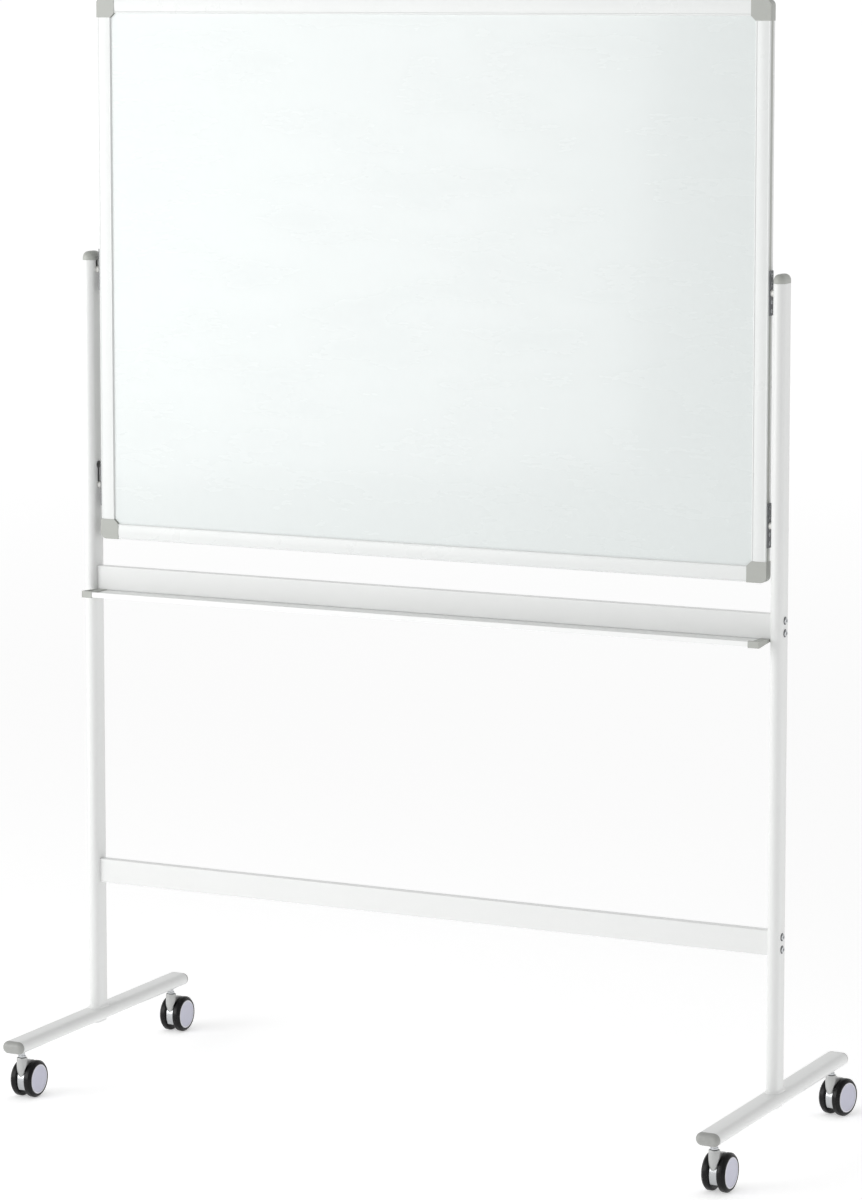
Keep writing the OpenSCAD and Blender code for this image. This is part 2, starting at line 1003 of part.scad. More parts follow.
// One set of caster nodes for each corner
for (i = [0:3]) {
    c = str(CORNERS[i], "_caster_");
    placed() at_caster(i) caster_housing();
    placed() at_caster(i) caster_axle();
    placed() at_caster(i) caster_wheel(1);
    placed() at_caster(i) caster_wheel(0);
    placed() at_caster(i) caster_disc(1);
    placed() at_caster(i) caster_disc(0);
}
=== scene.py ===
"""Looks of the rolling whiteboard: studio, camera, materials and the finer visual pieces."""

import json
import math

import bmesh
import bpy
from mathutils import Matrix, Vector


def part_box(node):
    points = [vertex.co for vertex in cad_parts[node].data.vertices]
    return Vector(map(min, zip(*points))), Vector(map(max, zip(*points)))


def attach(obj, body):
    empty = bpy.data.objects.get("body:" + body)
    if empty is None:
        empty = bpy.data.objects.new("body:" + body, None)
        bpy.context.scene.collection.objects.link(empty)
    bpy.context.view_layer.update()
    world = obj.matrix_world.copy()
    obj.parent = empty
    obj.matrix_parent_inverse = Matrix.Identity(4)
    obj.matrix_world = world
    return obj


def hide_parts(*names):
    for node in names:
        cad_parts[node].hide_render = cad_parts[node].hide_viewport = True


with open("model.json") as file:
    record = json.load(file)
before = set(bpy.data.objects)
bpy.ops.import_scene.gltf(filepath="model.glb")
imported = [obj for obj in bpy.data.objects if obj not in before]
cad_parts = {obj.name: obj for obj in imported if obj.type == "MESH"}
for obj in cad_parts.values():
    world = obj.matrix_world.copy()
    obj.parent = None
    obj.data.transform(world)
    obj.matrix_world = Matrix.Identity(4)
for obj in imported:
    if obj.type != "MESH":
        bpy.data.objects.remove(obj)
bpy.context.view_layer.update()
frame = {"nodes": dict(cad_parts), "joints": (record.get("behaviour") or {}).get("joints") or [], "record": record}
scene = bpy.context.scene
MM = 0.001


# ---- Materials -----------------------------------------------------------------------------

def new_graph(name):
    """An empty material with its output, a Principled shader and object coordinates."""
    mat = bpy.data.materials.new(name)
    mat.use_nodes = True
    nodes, links = mat.node_tree.nodes, mat.node_tree.links
    nodes.clear()
    out = nodes.new("ShaderNodeOutputMaterial")
    shader = nodes.new("ShaderNodeBsdfPrincipled")
    coords = nodes.new("ShaderNodeTexCoord")
    links.new(shader.outputs["BSDF"], out.inputs["Surface"])
    return mat, nodes, links, shader, coords


def noise(nodes, links, vector, scale, detail=3.0, roughness=0.5, stretch=None):
    """Noise over object coordinates; scale is in cells per metre."""
    if stretch:
        mapping = nodes.new("ShaderNodeMapping")
        mapping.inputs["Scale"].default_value = stretch
        links.new(vector, mapping.inputs["Vector"])
        vector = mapping.outputs["Vector"]
    tex = nodes.new("ShaderNodeTexNoise")
    tex.inputs["Scale"].default_value = scale
    tex.inputs["Detail"].default_value = detail
    tex.inputs["Roughness"].default_value = roughness
    links.new(vector, tex.inputs["Vector"])
    return tex.outputs["Fac"]


def spread(nodes, links, value, low, high, from_low=0.3, from_high=0.7):
    """Maps a value from one range to another; the first is where noise mostly lies."""
    ramp = nodes.new("ShaderNodeMapRange")
    ramp.inputs["From Min"].default_value = from_low
    ramp.inputs["From Max"].default_value = from_high
    ramp.inputs["To Min"].default_value = low
    ramp.inputs["To Max"].default_value = high
    links.new(value, ramp.inputs["Value"])
    return ramp.outputs["Result"]


def mixed(nodes, links, fac, a, b):
    """Colour between a and b."""
    mix = nodes.new("ShaderNodeMix")
    mix.data_type = "RGBA"
    mix.inputs["A"].default_value = (*a, 1)
    mix.inputs["B"].default_value = (*b, 1)
    links.new(fac, mix.inputs["Factor"])
    return mix.outputs["Result"]


def surface(name, colour, rough, metallic=0.0, coat=0.0, tone=0.03, tone_scale=9.0,
            rough_var=0.05, rough_scale=14.0, grain=900.0, grain_height=0.02, stretch=None,
            specular=0.5):
    """A finish whose colour, roughness and fine relief vary over the surface."""
    mat, nodes, links, shader, coords = new_graph(name)
    where = coords.outputs["Object"]
    blot = noise(nodes, links, where, tone_scale, 4.0)
    dark = tuple(c * (1 - tone) for c in colour)
    fac = spread(nodes, links, blot, 0.0, 1.0)
    links.new(mixed(nodes, links, fac, dark, colour), shader.inputs["Base Color"])
    smear = noise(nodes, links, where, rough_scale, 5.0, 0.6, stretch)
    links.new(spread(nodes, links, smear, rough - rough_var, rough + rough_var),
              shader.inputs["Roughness"])
    peel = noise(nodes, links, where, grain, 2.0)
    bump = nodes.new("ShaderNodeBump")
    bump.inputs["Strength"].default_value = 1.0
    bump.inputs["Distance"].default_value = grain_height * MM
    links.new(peel, bump.inputs["Height"])
    links.new(bump.outputs["Normal"], shader.inputs["Normal"])
    shader.inputs["Metallic"].default_value = metallic
    shader.inputs["Specular IOR Level"].default_value = specular
    shader.inputs["Coat Weight"].default_value = coat
    shader.inputs["Coat Roughness"].default_value = 0.08
    return mat


def rimmed(mat, inner, outer, colour):
    """Gives a turned surface another colour between two radii about its own Z axis."""
    nodes, links = mat.node_tree.nodes, mat.node_tree.links
    shader = next(x for x in nodes if x.type == "BSDF_PRINCIPLED")
    under = shader.inputs["Base Color"].links[0].from_socket
    coords = next(x for x in nodes if x.type == "TEX_COORD")
    flat = nodes.new("ShaderNodeVectorMath")
    flat.operation = "MULTIPLY"
    flat.inputs[1].default_value = (1, 1, 0)
    links.new(coords.outputs["Object"], flat.inputs[0])
    radius = nodes.new("ShaderNodeVectorMath")
    radius.operation = "LENGTH"
    links.new(flat.outputs["Vector"], radius.inputs[0])
    mix = nodes.new("ShaderNodeMix")
    mix.data_type = "RGBA"
    mix.inputs["B"].default_value = (*colour, 1)
    links.new(under, mix.inputs["A"])
    links.new(spread(nodes, links, radius.outputs["Value"], 0.0, 1.0, inner * MM, outer * MM),
              mix.inputs["Factor"])
    links.new(mix.outputs["Result"], shader.inputs["Base Color"])


def srgb(r, g, b):
    """Linear colour from display values between 0 and 255."""
    return tuple(((v / 255 + 0.055) / 1.055) ** 2.4 for v in (r, g, b))


FINISH = {
    "writing_steel": surface("writing_steel", srgb(221, 226, 225), 0.26, coat=0.3, tone=0.008,
                             tone_scale=3.0, rough_var=0.06, rough_scale=5.0, grain=260.0,
                             grain_height=0.004, stretch=(1.0, 1.0, 3.5)),
    "paper_core": surface("paper_core", srgb(196, 178, 144), 0.9, tone=0.2),
    "back_steel": surface("back_steel", srgb(204, 207, 208), 0.42, metallic=0.15, tone=0.05,
                          tone_scale=60.0),
    "frame_paint": surface("frame_paint", srgb(229, 231, 230), 0.3, tone=0.012),
    "grey_caps": surface("grey_caps", srgb(176, 178, 173), 0.48, tone=0.03, grain=1400.0),
    "dark_steel": surface("dark_steel", srgb(108, 110, 112), 0.45, metallic=0.6, tone=0.2,
                          tone_scale=80.0),
    "screw_steel": surface("screw_steel", srgb(190, 192, 194), 0.3, metallic=1.0, tone=0.1),
    "white_plastic": surface("white_plastic", srgb(232, 232, 228), 0.45),
    "stand_paint": surface("stand_paint", srgb(232, 233, 232), 0.34, coat=0.15, tone=0.015),
    "foot_cap_plastic": surface("foot_cap_plastic", srgb(164, 165, 162), 0.4, tone=0.08,
                                tone_scale=160.0, grain=1400.0),
    "plug_plastic": surface("plug_plastic", srgb(60, 61, 62), 0.6),
    "bolt_steel": surface("bolt_steel", srgb(196, 198, 200), 0.25, metallic=1.0, tone=0.08),
    "tray_paint": surface("tray_paint", srgb(241, 242, 241), 0.34, tone=0.012),
    "screw_white": surface("screw_white", srgb(232, 233, 232), 0.35),
    "caster_grey": surface("caster_grey", srgb(186, 187, 186), 0.34, metallic=0.45, tone=0.06,
                           tone_scale=120.0, grain=1400.0),
    "wheel_black": surface("wheel_black", srgb(15, 15, 16), 0.3, tone=0.3, rough_var=0.1,
                           rough_scale=60.0, specular=0.22),
    "disc_lilac": surface("disc_lilac", srgb(196, 196, 212), 0.36, coat=0.2, tone=0.05,
                          tone_scale=90.0),
}

# The wheel covers have a paler rim
rimmed(FINISH["disc_lilac"], 22.0, 22.5, srgb(219, 219, 226))

SLOT_OF = {item["node"]: item["material_slot"] for item in frame["record"]["subparts"]}
for node_name, node in frame["nodes"].items():
    node.data.materials.clear()
    node.data.materials.append(FINISH[SLOT_OF[node_name]])


# ---- Mesh helpers --------------------------------------------------------------------------
# Shapes are drawn in millimetres; piece() turns them into metres.

def joined(rings, first=True, last=True):
    """Vertices and faces that join rings of equal length; the end rings can be closed."""
    n = len(rings[0])
    verts = [p for ring in rings for p in ring]
    faces = []
    for i in range(len(rings) - 1):
        a, b = i * n, (i + 1) * n
        faces += [(a + k, a + (k + 1) % n, b + (k + 1) % n, b + k) for k in range(n)]
    if first:
        faces.append(tuple(range(n - 1, -1, -1)))
    if last:
        faces.append(tuple(range(len(verts) - n, len(verts))))
    return verts, faces


def merged(shapes):
    """Several shapes as one list of vertices and one of faces."""
    verts, faces = [], []
    for v, f in shapes:
        faces += [tuple(i + len(verts) for i in face) for face in f]
        verts += list(v)
    return verts, faces


def moved(shape, change):
    """A shape with a function applied to each of its points."""
    return [change(*p) for p in shape[0]], shape[1]


def stadium(width, depth, inset=0.0, n=14):
    """Outline of a flat oval, with its long side along Y, drawn inwards by an inset."""
    r = max(width / 2 - inset, 0.02)
    half = (depth - width) / 2
    ends = []
    for turn, y in ((0.0, half), (math.pi, -half)):
        ends += [(r * math.cos(turn + math.pi * k / n), y + r * math.sin(turn + math.pi * k / n))
                 for k in range(n + 1)]
    return ends


def oval_stack(width, depth, profile):
    """Flat oval block whose side follows (inset, height) steps."""
    return joined([[(x, y, z) for x, y in stadium(width, depth, inset)] for inset, z in profile])


def lathe(profile, n=72, first=True, last=True):
    """Turned shape about Z from (radius, height) steps."""
    rings = [[(r * math.cos(2 * math.pi * k / n), r * math.sin(2 * math.pi * k / n), h)
              for k in range(n)] for r, h in profile]
    return joined(rings, first, last)


def prism(outline, low, high):
    """Straight block over an outline in X and Y."""
    return joined([[(x, y, low) for x, y in outline], [(x, y, high) for x, y in outline]])


def corner(cx, cy, r, start, end, n=6):
    """Points on an arc, with its angles in degrees."""
    return [(cx + r * math.cos(math.radians(start + (end - start) * k / n)),
             cy + r * math.sin(math.radians(start + (end - start) * k / n)))
            for k in range(n + 1)]


def piece(name, shapes, finish, body, stands_for=(), place=None, crease=33.0, bevel=0.0):
    """Builds a visual piece, gives it its finish and puts it on its body."""
    verts, faces = merged(shapes)
    me = bpy.data.meshes.new(name)
    me.from_pydata([Vector(v) * MM for v in verts], [], faces)
    bm = bmesh.new()
    bm.from_mesh(me)
    bmesh.ops.remove_doubles(bm, verts=bm.verts, dist=1e-7)
    bmesh.ops.recalc_face_normals(bm, faces=bm.faces)
    bm.to_mesh(me)
    bm.free()
    me.polygons.foreach_set("use_smooth", [True] * len(me.polygons))
    ob = bpy.data.objects.new(name, me)
    scene.collection.objects.link(ob)
    if bevel:
        rounding = ob.modifiers.new("rounding", "BEVEL")
        rounding.width = bevel * MM
        rounding.segments = 3
        rounding.limit_method = "ANGLE"
        rounding.angle_limit = math.radians(40)
        ob.modifiers.new("shading", "WEIGHTED_NORMAL")
    else:
        me.set_sharp_from_angle(angle=math.radians(crease))
    if place is not None:
        ob.matrix_world = place
    me.materials.append(FINISH[finish])
    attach(ob, body)
    if stands_for:
        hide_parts(*stands_for)
    return ob


def box_mm(node):
    """Corners of a CAD node's box in millimetres."""
    low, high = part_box(node)
    return low / MM, high / MM


# ---- Stand ---------------------------------------------------------------------------------

BOLT_PITCH, BOLT_HEAD = 20.0, 12.8
CAP_SIDE = 4.0          # straight side of the post caps under their domes
TRAY_CAP_WALL = 0.7     # end wall of a tray cap
TRAY_CAP_FRONT = 3.2    # depth of a tray cap's front, over the lip
TRAY_CAP_OVER, TRAY_CAP_UNDER = 1.1, 2.7    # its reach above and below the tray's top face
# (inset, height) steps of the soft saddle that a post stands in, from inside the tube
SADDLE = [(-3.0, -4.0), (-3.0, 0.3), (-2.75, 1.0), (-2.2, 1.7), (-1.5, 2.3), (-0.9, 2.9),
          (-0.45, 3.6), (-0.15, 4.4), (0.0, 5.4), (0.3, 5.5)]


def cap_profile(height, nose, seam=0.5):
    """(inset, height) steps of a plugged cap: a seam, a straight side and a rounded nose."""
    side = height - nose
    steps = [(seam, -0.5), (seam, 0.15), (0.15, 0.25), (0.0, min(side, 0.6))]
    if side > 0.7:
        steps.append((0.0, side))
    for k in range(1, 13):
        turn = math.radians(90 * k / 12)
        steps.append((nose * (1 - math.cos(turn)), side + nose * math.sin(turn)))
    return steps


def soft_dome(width, depth, height, side):
    """Oval cap with a seam and a straight side under a dome that is rounder across."""
    rings = [(width - 1.0, depth - 1.0, -0.5), (width - 1.0, depth - 1.0, 0.15),
             (width - 0.3, depth - 0.3, 0.25), (width, depth, 0.6), (width, depth, side)]
    for k in range(1, 19):
        turn = math.radians(90 * k / 18.4)
        rings.append((width * math.cos(turn) ** 0.85, depth * math.cos(turn) ** 0.5,
                      side + (height - side) * math.sin(turn)))
    return joined([[(x, y, z) for x, y in stadium(w, max(d, w + 0.1))] for w, d, z in rings])


def build_foot(side, low, high, x, y):
    """Foot under the post between low and high: its tube with the saddle, and its end caps."""
    foot_low, foot_high = box_mm("foot_" + side)
    tube_w, tube_h = foot_high.x - foot_low.x, low.z - foot_low.z
    tube_z = foot_low.z + tube_h / 2
    tube = joined([[(u + x, v, w + tube_z) for w, u in stadium(tube_h, tube_w)]
                   for v in (foot_low.y, foot_high.y)])
    saddle = oval_stack(high.x - low.x, high.y - low.y, SADDLE)
    piece(f"foot_tube_{side}",
          [tube, moved(saddle, lambda a, b, c: (a + x, b + y, c + low.z))],
          "stand_paint", "stand", ["foot_" + side])
    length = box_mm("foot_caps")[1].y - foot_high.y
    for name, end, way in (("front", foot_low.y, -1), ("rear", foot_high.y, 1)):
        nose = oval_stack(tube_h, tube_w, cap_profile(length, length - 0.5))
        piece(f"foot_cap_{name}_{side}",
              [moved(nose, lambda a, b, c: (b + x, end + way * c, a + tube_z))],
              "foot_cap_plastic", "stand", ["foot_caps"])


def build_posts_and_feet():
    """Each post's cap, and the foot that it stands in."""
    for side in ("left", "right"):
        low, high = box_mm("post_" + side)
        x, y = (low.x + high.x) / 2, (low.y + high.y) / 2
        dome = box_mm("post_caps")[1].z - high.z
        cap = soft_dome(high.x - low.x, high.y - low.y, dome, CAP_SIDE)
        piece(f"post_cap_{side}", [moved(cap, lambda a, b, c: (a + x, b + y, c + high.z))],
              "grey_caps", "stand", ["post_caps"])
        build_foot(side, low, high, x, y)


def build_bolts():
    """Button heads with a hexagon socket on a dark rim, on the posts' outer faces."""
    low, high = box_mm("rail_bolts")
    post_low, post_high = box_mm("post_left")
    y = (post_low.y + post_high.y) / 2
    heads, rims = [], []
    for rail in ("upper_rail", "lower_rail"):
        rail_low, rail_high = box_mm(rail)
        middle = (rail_low.z + rail_high.z) / 2
        for z in (middle - BOLT_PITCH / 2, middle + BOLT_PITCH / 2):
            for face, tip, way in ((post_low.x, low.x, -1), (-post_low.x, high.x, 1)):
                tall = abs(tip - face)
                r = BOLT_HEAD / 2
                rim = [(r, 0.0), (r, 0.6), (r - 0.25, 0.85), (r - 1.1, 0.9), (r - 1.4, 0.6)]
                dome = [(r - 1.3, 0.3), (r - 1.3, 1.1), (r - 1.6, 1.8), (r - 2.3, tall - 0.8),
                        (r - 3.2, tall - 0.2), (2.5, tall), (2.2, tall - 0.1)]
                socket = [(2.2, tall - 0.1), (2.0, tall - 0.3), (2.0, tall - 1.2)]

                def put(a, b, c, face=face, way=way, z=z):
                    return (face + way * c, y + a, z + b)

                rims.append(moved(lathe(rim, 40), put))
                heads.append(moved(lathe(dome, 42, last=False), put))
                heads.append(moved(lathe(socket, 6, first=False), put))
    piece("rail_bolt_heads", heads, "bolt_steel", "stand", ["rail_bolts"])
    piece("rail_bolt_rims", rims, "dark_steel", "stand")


def build_tray_caps():
    """End caps that wrap the tray's lip and floor, with a tapered end wall."""
    lip_y = box_mm("pen_tray")[0].y
    tray_z = box_mm("upper_rail")[0].z
    for side, way in (("left", -1), ("right", 1)):
        low, high = box_mm("tray_cap_" + side)
        outer = high.x if way > 0 else -low.x
        inner = low.x if way > 0 else -high.x
        step = lip_y + TRAY_CAP_FRONT
        top_floor, under_floor = tray_z + TRAY_CAP_OVER, tray_z - TRAY_CAP_UNDER
        sleeve = [(low.y, low.z), (step, low.z), (high.y, under_floor), (high.y, top_floor),
                  (step, top_floor), (step, high.z), (low.y, high.z)]
        wall = [(low.y, low.z), (step, low.z), (high.y, under_floor), (high.y, top_floor),
                (step, high.z), (low.y, high.z)]
        shapes = []
        for outline, a, b in ((sleeve, inner, outer - TRAY_CAP_WALL),
                              (wall, outer - TRAY_CAP_WALL - 0.05, outer)):
            shapes.append(moved(prism(outline, a, b), lambda p, q, r: (way * r, p, q)))
        piece("tray_end_cap_" + side, shapes, "grey_caps", "stand", ["tray_cap_" + side],
              bevel=0.5)


# ---- Board ---------------------------------------------------------------------------------

CAP_ROUND = 10.0        # outer corner radius of the corner caps
CAP_LAP = 0.35          # how far a corner cap's cut edge reaches over the gap to the sheet
REAR_LIP_STEP = 7.0     # how much narrower than a bar the rear of a corner cap is
STRIP_FRONT, STRIP_BACK = 2.8, 11.2     # reach of the edge strip, behind the frame's front
STRIP_PROUD = 0.25      # how far the edge strip stands out from the frame


def build_corner_caps():
    """Moulded corners of the frame: a front plate with a cut inner corner, and a rear angle."""
    low, high = box_mm("corner_caps")
    bar_low, bar_high = box_mm("frame_top")
    sheet_low, sheet_high = box_mm("writing_sheet")
    leg = bar_low.x - low.x
    bar = bar_high.z - bar_low.z + (high.z - bar_high.z)
    lip = box_mm("frame_left")[1].x - low.x - REAR_LIP_STEP
    mid_x, mid_z = (low.x + high.x) / 2, (low.z + high.z) / 2
    r = CAP_ROUND
    front = corner(r, r, r, 180, 270) + [(leg, 0), (leg, bar), (leg, bar + CAP_LAP),
                                         (bar + CAP_LAP, leg), (bar, leg), (0, leg)]
    rear = corner(r, r, r, 180, 270) + [(leg, 0), (leg, lip), (lip, lip), (lip, leg), (0, leg)]
    for name, sx, sz in (("bottom_left", 1, 1), ("bottom_right", -1, 1),
                         ("top_left", 1, -1), ("top_right", -1, -1)):
        shapes = []
        for outline, a, b in ((front, low.y, sheet_high.y - 0.1),
                              (rear, sheet_low.y - 0.6, high.y)):
            shapes.append(moved(prism(outline, a, b), lambda p, q, v: (
                mid_x + sx * (low.x - mid_x + p), v, mid_z + sz * (low.z - mid_z + q))))
        piece("corner_cap_" + name, shapes, "grey_caps", "board", ["corner_caps"], bevel=0.9)


def build_frame_trim():
    """A grey strip along the frame's outer edge, and the white bead that seals the sheet."""
    low, high = box_mm("frame_bottom")
    left_low, left_high = box_mm("frame_left")
    sheet_low = box_mm("writing_sheet")[0]
    top = box_mm("frame_top")[1].z
    half_w, half_h, mid_z = -left_low.x, (top - low.z) / 2, (top + low.z) / 2
    # Outlines in the distance from the frame's outside and in Y
    front, back = low.y + STRIP_FRONT, low.y + STRIP_BACK
    strip = [(0.4, front), (-STRIP_PROUD + 0.1, front), (-STRIP_PROUD, front + 0.4),
             (-STRIP_PROUD, back - 0.4), (-STRIP_PROUD + 0.1, back), (0.4, back)]
    edge, face = half_w + sheet_low.x, sheet_low.y
    bead = [(edge - 0.45, face - 1.0), (edge + 0.25, face - 0.9), (edge + 0.75, face - 0.45),
            (edge + 0.9, face + 0.05), (edge - 0.45, face + 0.05)]
    upright, level = left_high.z - left_low.z, high.x - low.x
    for name, outline, finish in (("edge_strip", strip, "grey_caps"),
                                  ("sheet_bead", bead, "frame_paint")):
        for side, way, length in (("left", 1, upright), ("right", -1, upright),
                                  ("bottom", 1, level), ("top", -1, level)):
            bar = prism(outline, -length / 2, length / 2)
            if side in ("left", "right"):
                bar = moved(bar, lambda u, v, w: (way * (u - half_w), v, mid_z + w))
            else:
                bar = moved(bar, lambda u, v, w: (w, v, mid_z + way * (u - half_h)))
            piece(f"{name}_{side}", [bar], finish, "board")


# ---- Casters -------------------------------------------------------------------------------

WEB_HALF = 6.7          # half the width of the housing between the wheels
WEB_MARGIN = 3.0        # how far the plate between the wheels stays inside their tread
WEB_FLOOR = 15.0        # height of that plate's flat underside


def wheel_profile(r, disc):
    """(radius, distance from the caster's middle) steps of a wheel with a chamfered tread."""
    return [(3.2, 7.0), (8.0, 7.0), (8.5, 7.5), (8.7, 13.0), (disc - 3.4, 13.0),
            (disc - 3.0, 7.5), (disc - 2.5, 7.0), (r - 2.6, 7.0), (r - 1.5, 7.25), (r - 0.7, 7.8),
            (r - 0.25, 8.7), (r - 0.05, 9.6), (r, 11.0), (r, 15.2), (r - 0.12, 15.8),
            (r - 0.5, 16.4), (r - 2.9, 19.1), (r - 3.5, 19.65), (r - 4.2, 19.95),
            (disc + 0.9, 20.0), (disc + 0.5, 19.85), (disc + 0.2, 19.5), (disc + 0.2, 18.1)]


def disc_profile(disc):
    """(radius, distance from the caster's middle) steps of a dished cover with a rim."""
    return [(disc, 18.0), (disc, 19.3), (disc - 0.2, 19.75), (disc - 0.6, 19.95),
            (disc - 1.5, 19.95), (disc - 1.9, 19.75), (disc - 2.2, 19.35), (disc - 2.8, 19.15),
            (16.0, 19.1), (9.0, 19.2), (4.0, 19.3), (0.6, 19.35)]


def housing_shapes(trail, axle_z, wheel_r, half, boss_top):
    """The plate between the wheels, the hood over it, and the boss round the stem."""
    web_r = wheel_r - WEB_MARGIN
    hood_z = axle_z + web_r
    floor_turn = math.degrees(math.asin((WEB_FLOOR - axle_z) / web_r))
    plate = corner(trail, axle_z, web_r, 40.0, floor_turn, 14)
    plate += corner(trail, axle_z, web_r, -180.0 - floor_turn, -196.0, 10)
    plate += [(-2.0, axle_z + 14.0), (4.0, axle_z + 16.0)]
    hood = [(-4.0, 48.0), (-4.0, boss_top - 6.0), (8.0, boss_top - 5.0), (trail - 2, hood_z + 4.2),
            (trail + 6.0, hood_z + 2.6), (trail + 12.0, hood_z - 2.6), (trail + 15.0, hood_z - 7.0),
            (trail + 17.0, hood_z - 12.0), (trail + 9.0, hood_z - 14.0), (6.0, 44.0)]
    steps = [(0.5, 35.6), (2.0, 35.9), (3.6, 36.8), (5.0, 38.2), (6.2, 40.4), (7.2, 43.4),
             (8.1, 46.8), (8.7, 50.4), (9.0, 54.0), (9.0, boss_top - 4.4), (8.8, boss_top - 4.2),
             (8.8, boss_top - 3.9), (9.0, boss_top - 3.7), (9.0, boss_top - 0.7),
             (8.7, boss_top - 0.15), (8.3, boss_top), (7.3, boss_top), (7.0, boss_top - 0.3),
             (7.0, boss_top - 2.8), (4.2, boss_top - 2.8)]

    def clear(x, y, z):
        room = half + max(0.0, math.hypot(y - trail, z - axle_z) - wheel_r - 0.8)
        return max(-room, min(room, x)), y, z

    def across(outline, w):
        return moved(prism(outline, -w, w), lambda p, q, r: (r, p, q))

    return (across(plate, half - 0.3), across(hood, half),
            moved(lathe(finer(steps, 0.7), 96), clear))


def finer(steps, size):
    """A profile with its long spans cut into shorter ones."""
    out = [steps[0]]
    for a, b in zip(steps, steps[1:]):
        n = max(1, int(math.dist(a, b) / size))
        out += [(a[0] + (b[0] - a[0]) * k / n, a[1] + (b[1] - a[1]) * k / n)
                for k in range(1, n + 1)]
    return out


def build_caster(where):
    """One caster's housing, wheels and covers, placed from its own joints."""
    joints = {j["name"]: j for j in frame["joints"]}
    stem = Vector(joints[where + "_swivel"]["pos_m"])
    roll = joints[where + "_left_roll"]
    axle = Vector(roll["pos_m"])
    across = Vector(roll["axis"]).normalized()
    up = Vector((0, 0, 1))
    along = up.cross(across)
    trail = (axle - stem).dot(along) / MM
    axle_z = axle.z / MM
    wheel_low, wheel_high = box_mm(where + "_caster_wheel_left")
    wheel_r = (wheel_high.z - wheel_low.z) / 2
    disc_low, disc_high = box_mm(where + "_caster_disc_left")
    disc_r = (disc_high.z - disc_low.z) / 2
    boss_top = box_mm(where + "_caster_housing")[1].z
    base = Matrix.Translation((stem.x, stem.y, 0)) @ Matrix(
        ((across.x, along.x, 0, 0), (across.y, along.y, 0, 0), (0, 0, 1, 0), (0, 0, 0, 1)))
    plate, hood, boss = housing_shapes(trail, axle_z, wheel_r, WEB_HALF, boss_top)
    piece(where + "_caster_plate", [plate], "screw_steel", where + "_caster",
          [where + "_caster_housing"], place=base, bevel=0.7)
    piece(where + "_caster_hood", [hood], "caster_grey", where + "_caster", place=base, bevel=1.2)
    piece(where + "_caster_boss", [boss], "caster_grey", where + "_caster", place=base)
    # Wheels and discs, about the axle
    for side, way in (("left", -1), ("right", 1)):
        turned = Matrix.Translation(axle) @ base.to_3x3().to_4x4() @ Matrix.Rotation(
            way * math.pi / 2, 4, "Y")
        piece(f"{where}_caster_tyre_{side}", [lathe(wheel_profile(wheel_r, disc_r), 96)],
              "wheel_black", f"{where}_{side}_wheel", [f"{where}_caster_wheel_{side}"],
              place=turned)
        piece(f"{where}_caster_cover_{side}", [lathe(disc_profile(disc_r), 96)], "disc_lilac",
              f"{where}_{side}_wheel", [f"{where}_caster_disc_{side}"], place=turned)


build_posts_and_feet()
build_bolts()
build_tray_caps()
build_corner_caps()
build_frame_trim()
for corner_name in ("front_left", "front_right", "rear_left", "rear_right"):
    build_caster(corner_name)


# ---- Studio --------------------------------------------------------------------------------

SKY_BRIGHT, SKY_DIM = 1.02, 0.60     # tone of the backdrop on its bright and on its dim side
OVERHEAD = 0.44                      # share of the tone that is left straight overhead
SKY_SIDE = (-0.80, 0.52, 0.30)       # direction of the bright side
SKY_TURN = (-0.9, 0.55)              # cosines from the bright side where the tone settles
SKY_RISE = (0.25, 0.85)              # sines of the height where the overhead fall-off runs
FLOOR_FADE = (1.0, 10.0)             # distances over which the floor takes the sky's tone
FLOOR_GLOW = 0.42                    # light of its own that keeps the floor white


def sky_tone(nodes, links, direction):
    """Brightness of the soft backdrop in a direction."""
    dot = nodes.new("ShaderNodeVectorMath")
    dot.operation = "DOT_PRODUCT"
    dot.inputs[1].default_value = Vector(SKY_SIDE).normalized()
    links.new(direction, dot.inputs[0])
    tone = nodes.new("ShaderNodeMapRange")
    tone.interpolation_type = "SMOOTHSTEP"
    tone.inputs["From Min"].default_value = SKY_TURN[0]
    tone.inputs["From Max"].default_value = SKY_TURN[1]
    tone.inputs["To Min"].default_value = SKY_DIM
    tone.inputs["To Max"].default_value = SKY_BRIGHT
    links.new(dot.outputs["Value"], tone.inputs["Value"])
    split = nodes.new("ShaderNodeSeparateXYZ")
    links.new(direction, split.inputs[0])
    ceiling = nodes.new("ShaderNodeMath")
    ceiling.operation = "MULTIPLY"
    links.new(tone.outputs["Result"], ceiling.inputs[0])
    links.new(spread(nodes, links, split.outputs["Z"], 1.0, OVERHEAD, *SKY_RISE),
              ceiling.inputs[1])
    return ceiling.outputs["Value"]


def make_world():
    """A seamless studio backdrop, brighter at the back left than at the front right."""
    world = bpy.data.worlds.new("studio")
    world.use_nodes = True
    nodes, links = world.node_tree.nodes, world.node_tree.links
    coords = nodes.new("ShaderNodeTexCoord")
    links.new(sky_tone(nodes, links, coords.outputs["Generated"]),
              nodes["Background"].inputs["Strength"])
    nodes["Background"].inputs["Color"].default_value = (1, 1, 1, 1)
    scene.world = world


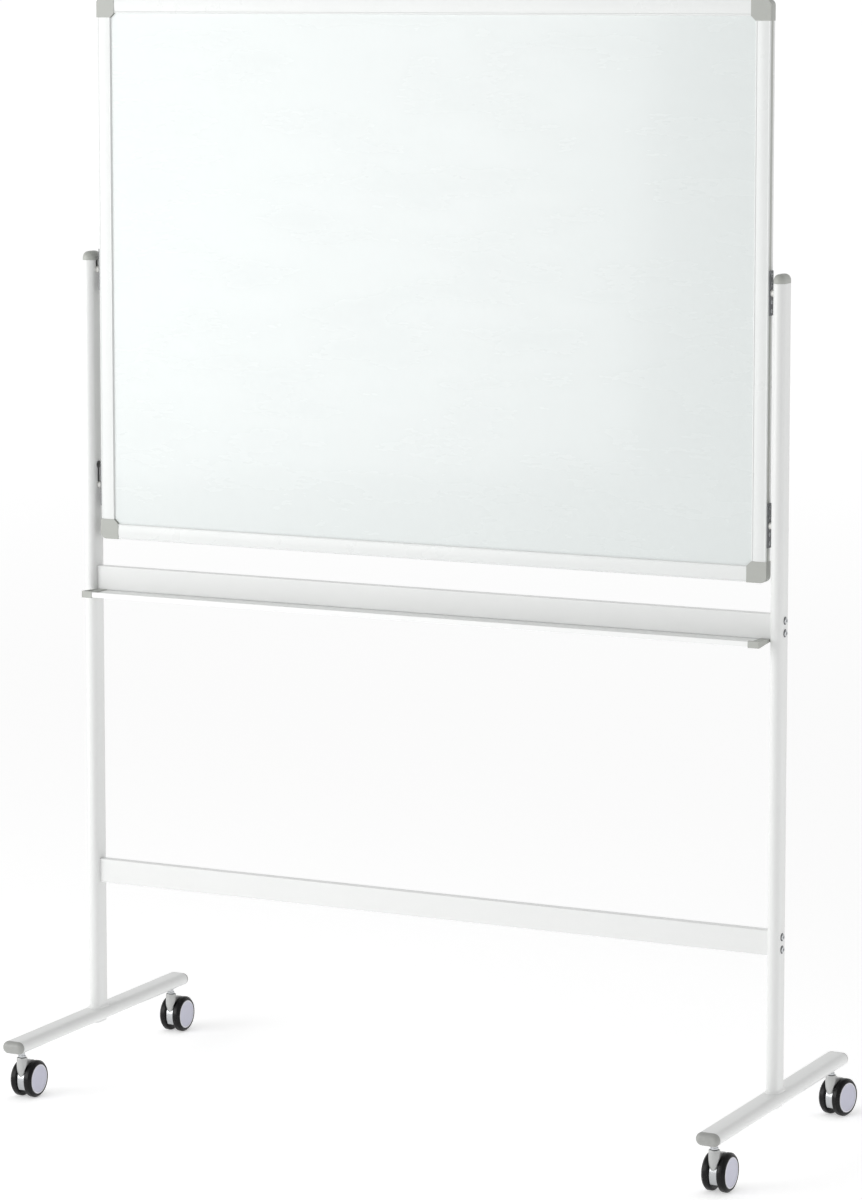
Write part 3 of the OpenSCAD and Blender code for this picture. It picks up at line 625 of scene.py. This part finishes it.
def make_floor():
    """A wide pale floor that fades into the backdrop's tone far from the object."""
    n, rings = 96, [4.0, 12.0, 60.0, 400.0]
    verts = [(0, 0, 0)]
    for r in rings:
        verts += [(r * math.cos(2 * math.pi * k / n), r * math.sin(2 * math.pi * k / n), 0)
                  for k in range(n)]
    faces = [(0, 1 + k, 1 + (k + 1) % n) for k in range(n)]
    for i in range(len(rings) - 1):
        a, b = 1 + i * n, 1 + (i + 1) * n
        faces += [(a + k, b + k, b + (k + 1) % n, a + (k + 1) % n) for k in range(n)]
    me = bpy.data.meshes.new("studio_floor")
    me.from_pydata(verts, [], faces)
    floor = bpy.data.objects.new("studio_floor", me)
    scene.collection.objects.link(floor)
    mat, nodes, links, shader, coords = new_graph("studio_floor")
    shader.inputs["Base Color"].default_value = (0.86, 0.86, 0.86, 1)
    shader.inputs["Roughness"].default_value = 0.9
    shader.inputs["Specular IOR Level"].default_value = 0.1
    shader.inputs["Emission Color"].default_value = (1, 1, 1, 1)
    shader.inputs["Emission Strength"].default_value = FLOOR_GLOW
    length = nodes.new("ShaderNodeVectorMath")
    length.operation = "LENGTH"
    links.new(coords.outputs["Object"], length.inputs[0])
    outward = nodes.new("ShaderNodeVectorMath")
    outward.operation = "NORMALIZE"
    links.new(coords.outputs["Object"], outward.inputs[0])
    glow = nodes.new("ShaderNodeEmission")
    links.new(sky_tone(nodes, links, outward.outputs["Vector"]), glow.inputs["Strength"])
    fade = nodes.new("ShaderNodeMixShader")
    links.new(spread(nodes, links, length.outputs["Value"], 0.0, 1.0, *FLOOR_FADE),
              fade.inputs["Fac"])
    links.new(shader.outputs["BSDF"], fade.inputs[1])
    links.new(glow.outputs["Emission"], fade.inputs[2])
    out = next(x for x in nodes if x.type == "OUTPUT_MATERIAL")
    links.new(fade.outputs["Shader"], out.inputs["Surface"])
    me.materials.append(mat)


def soft_light(name, place, aim, size, power):
    """A rectangular soft light at a place, pointed at a spot."""
    data = bpy.data.lights.new(name, "AREA")
    data.shape = "RECTANGLE"
    data.size, data.size_y = size
    data.energy = power
    lamp = bpy.data.objects.new(name, data)
    lamp.location = place
    lamp.rotation_mode = "QUATERNION"
    lamp.rotation_quaternion = (Vector(aim) - Vector(place)).to_track_quat("-Z", "Y")
    scene.collection.objects.link(lamp)


make_world()
make_floor()
soft_light("key", (-2.7, -3.3, 1.8), (-0.2, 0, 1.05), (3.2, 2.6), 78)
soft_light("side", (2.6, 0.2, 1.0), (0.6, 0, 0.9), (1.4, 1.4), 6)
scene.view_settings.view_transform = "Standard"
scene.view_settings.look = "None"

# Camera: the aim is in the posts' plane, and a small shift centres the object in the frame
AZIMUTH, ELEVATION = math.radians(26.472), math.radians(6.483)
DISTANCE, LENS, SHIFT = 6.8465, 126.26, -0.12
AIM_X, AIM_Z = 0.0144, 1.0879
post_low, post_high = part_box("post_left")
aim = Vector((AIM_X, (post_low.y + post_high.y) / 2, AIM_Z))
back = Vector((math.sin(AZIMUTH) * math.cos(ELEVATION), -math.cos(AZIMUTH) * math.cos(ELEVATION),
               math.sin(ELEVATION)))
cam_data = bpy.data.cameras.new("camera")
cam_data.lens = LENS
cam_data.sensor_width = 36.0
cam_data.shift_y = SHIFT
cam_data.clip_end = 1000.0
camera = bpy.data.objects.new("camera", cam_data)
camera.location = aim + back * DISTANCE
camera.rotation_mode = "QUATERNION"
camera.rotation_quaternion = (-back).to_track_quat("-Z", "Y")
scene.collection.objects.link(camera)
scene.camera = camera
